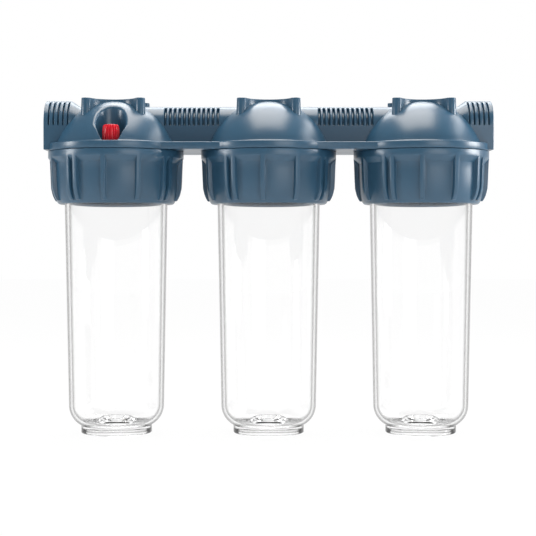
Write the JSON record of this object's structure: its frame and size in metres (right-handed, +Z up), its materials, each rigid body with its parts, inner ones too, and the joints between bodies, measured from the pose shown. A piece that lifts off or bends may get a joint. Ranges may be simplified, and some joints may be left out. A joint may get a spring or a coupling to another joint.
{
  "type": "triple water filter housing",
  "caption": "In-line water filter housing: a moulded head with side ports carries clear bowls in a row, each clamped by a ribbed ring nut, with a vent screw at the inlet.",
  "frame": {"origin": "middle of the footprint, on the plane that the bowls' base rings stand on", "axes": "+X along the row of housings from the inlet to the outlet, -Y towards the side with the vent screw, +Z up through the screw towers"},
  "size_m": [0.42, 0.1278, 0.3149],
  "materials": {
    "blue_plastic": "satin",
    "clear_plastic": "clear, polished",
    "seal_rubber": "matt",
    "white_plastic": "matt",
    "insert_brass": "turned",
    "red_plastic": "satin"
  },
  "bodies": {
    "head": {"manifold_head": "blue_plastic", "cartridge_spigot_left": "white_plastic", "cartridge_spigot_middle": "white_plastic", "cartridge_spigot_right": "white_plastic", "spigot_seal_left": "seal_rubber", "spigot_seal_middle": "seal_rubber", "spigot_seal_right": "seal_rubber", "port_insert_left": "insert_brass", "port_insert_right": "insert_brass"},
    "left_bowl": {"bowl_left": "clear_plastic", "bowl_seal_left": "seal_rubber"},
    "left_nut": {"ring_nut_left": "blue_plastic"},
    "middle_bowl": {"bowl_middle": "clear_plastic", "bowl_seal_middle": "seal_rubber"},
    "middle_nut": {"ring_nut_middle": "blue_plastic"},
    "right_bowl": {"bowl_right": "clear_plastic", "bowl_seal_right": "seal_rubber"},
    "right_nut": {"ring_nut_right": "blue_plastic"},
    "vent_lifter": {"vent_seal": "seal_rubber"},
    "vent_knob": {"vent_screw": "red_plastic"}
  },
  "joints": [
    {"name": "bowl_left_lower", "type": "slide", "parent": "head", "child": "left_bowl", "axis": [0, 0, -1], "range_m": [0, 0.021]},
    {"name": "ring_nut_left_turn", "type": "hinge", "parent": "left_bowl", "child": "left_nut", "pos_m": [-0.1446, 0, 0.2411], "axis": [0, 0, -1], "range_deg": [0, 1260]},
    {"name": "bowl_middle_lower", "type": "slide", "parent": "head", "child": "middle_bowl", "axis": [0, 0, -1], "range_m": [0, 0.021]},
    {"name": "ring_nut_middle_turn", "type": "hinge", "parent": "middle_bowl", "child": "middle_nut", "pos_m": [0, 0, 0.2411], "axis": [0, 0, -1], "range_deg": [0, 1260]},
    {"name": "bowl_right_lower", "type": "slide", "parent": "head", "child": "right_bowl", "axis": [0, 0, -1], "range_m": [0, 0.021]},
    {"name": "ring_nut_right_turn", "type": "hinge", "parent": "right_bowl", "child": "right_nut", "pos_m": [0.1446, 0, 0.2411], "axis": [0, 0, -1], "range_deg": [0, 1260]},
    {"name": "vent_lift", "type": "slide", "parent": "head", "child": "vent_lifter", "axis": [0, 0, 1], "range_m": [0, 0.003]},
    {"name": "vent_turn", "type": "hinge", "parent": "vent_lifter", "child": "vent_knob", "pos_m": [-0.1446, -0.045, 0.2734], "axis": [0, 0, 1], "range_deg": [0, 720]}
  ],
  "couplings": [
    {"joint": "bowl_left_lower", "follows": "ring_nut_left_turn", "m_per_rad": 0.00095493},
    {"joint": "bowl_middle_lower", "follows": "ring_nut_middle_turn", "m_per_rad": 0.00095493},
    {"joint": "bowl_right_lower", "follows": "ring_nut_right_turn", "m_per_rad": 0.00095493},
    {"joint": "vent_lift", "follows": "vent_turn", "m_per_rad": 0.00023873}
  ]
}
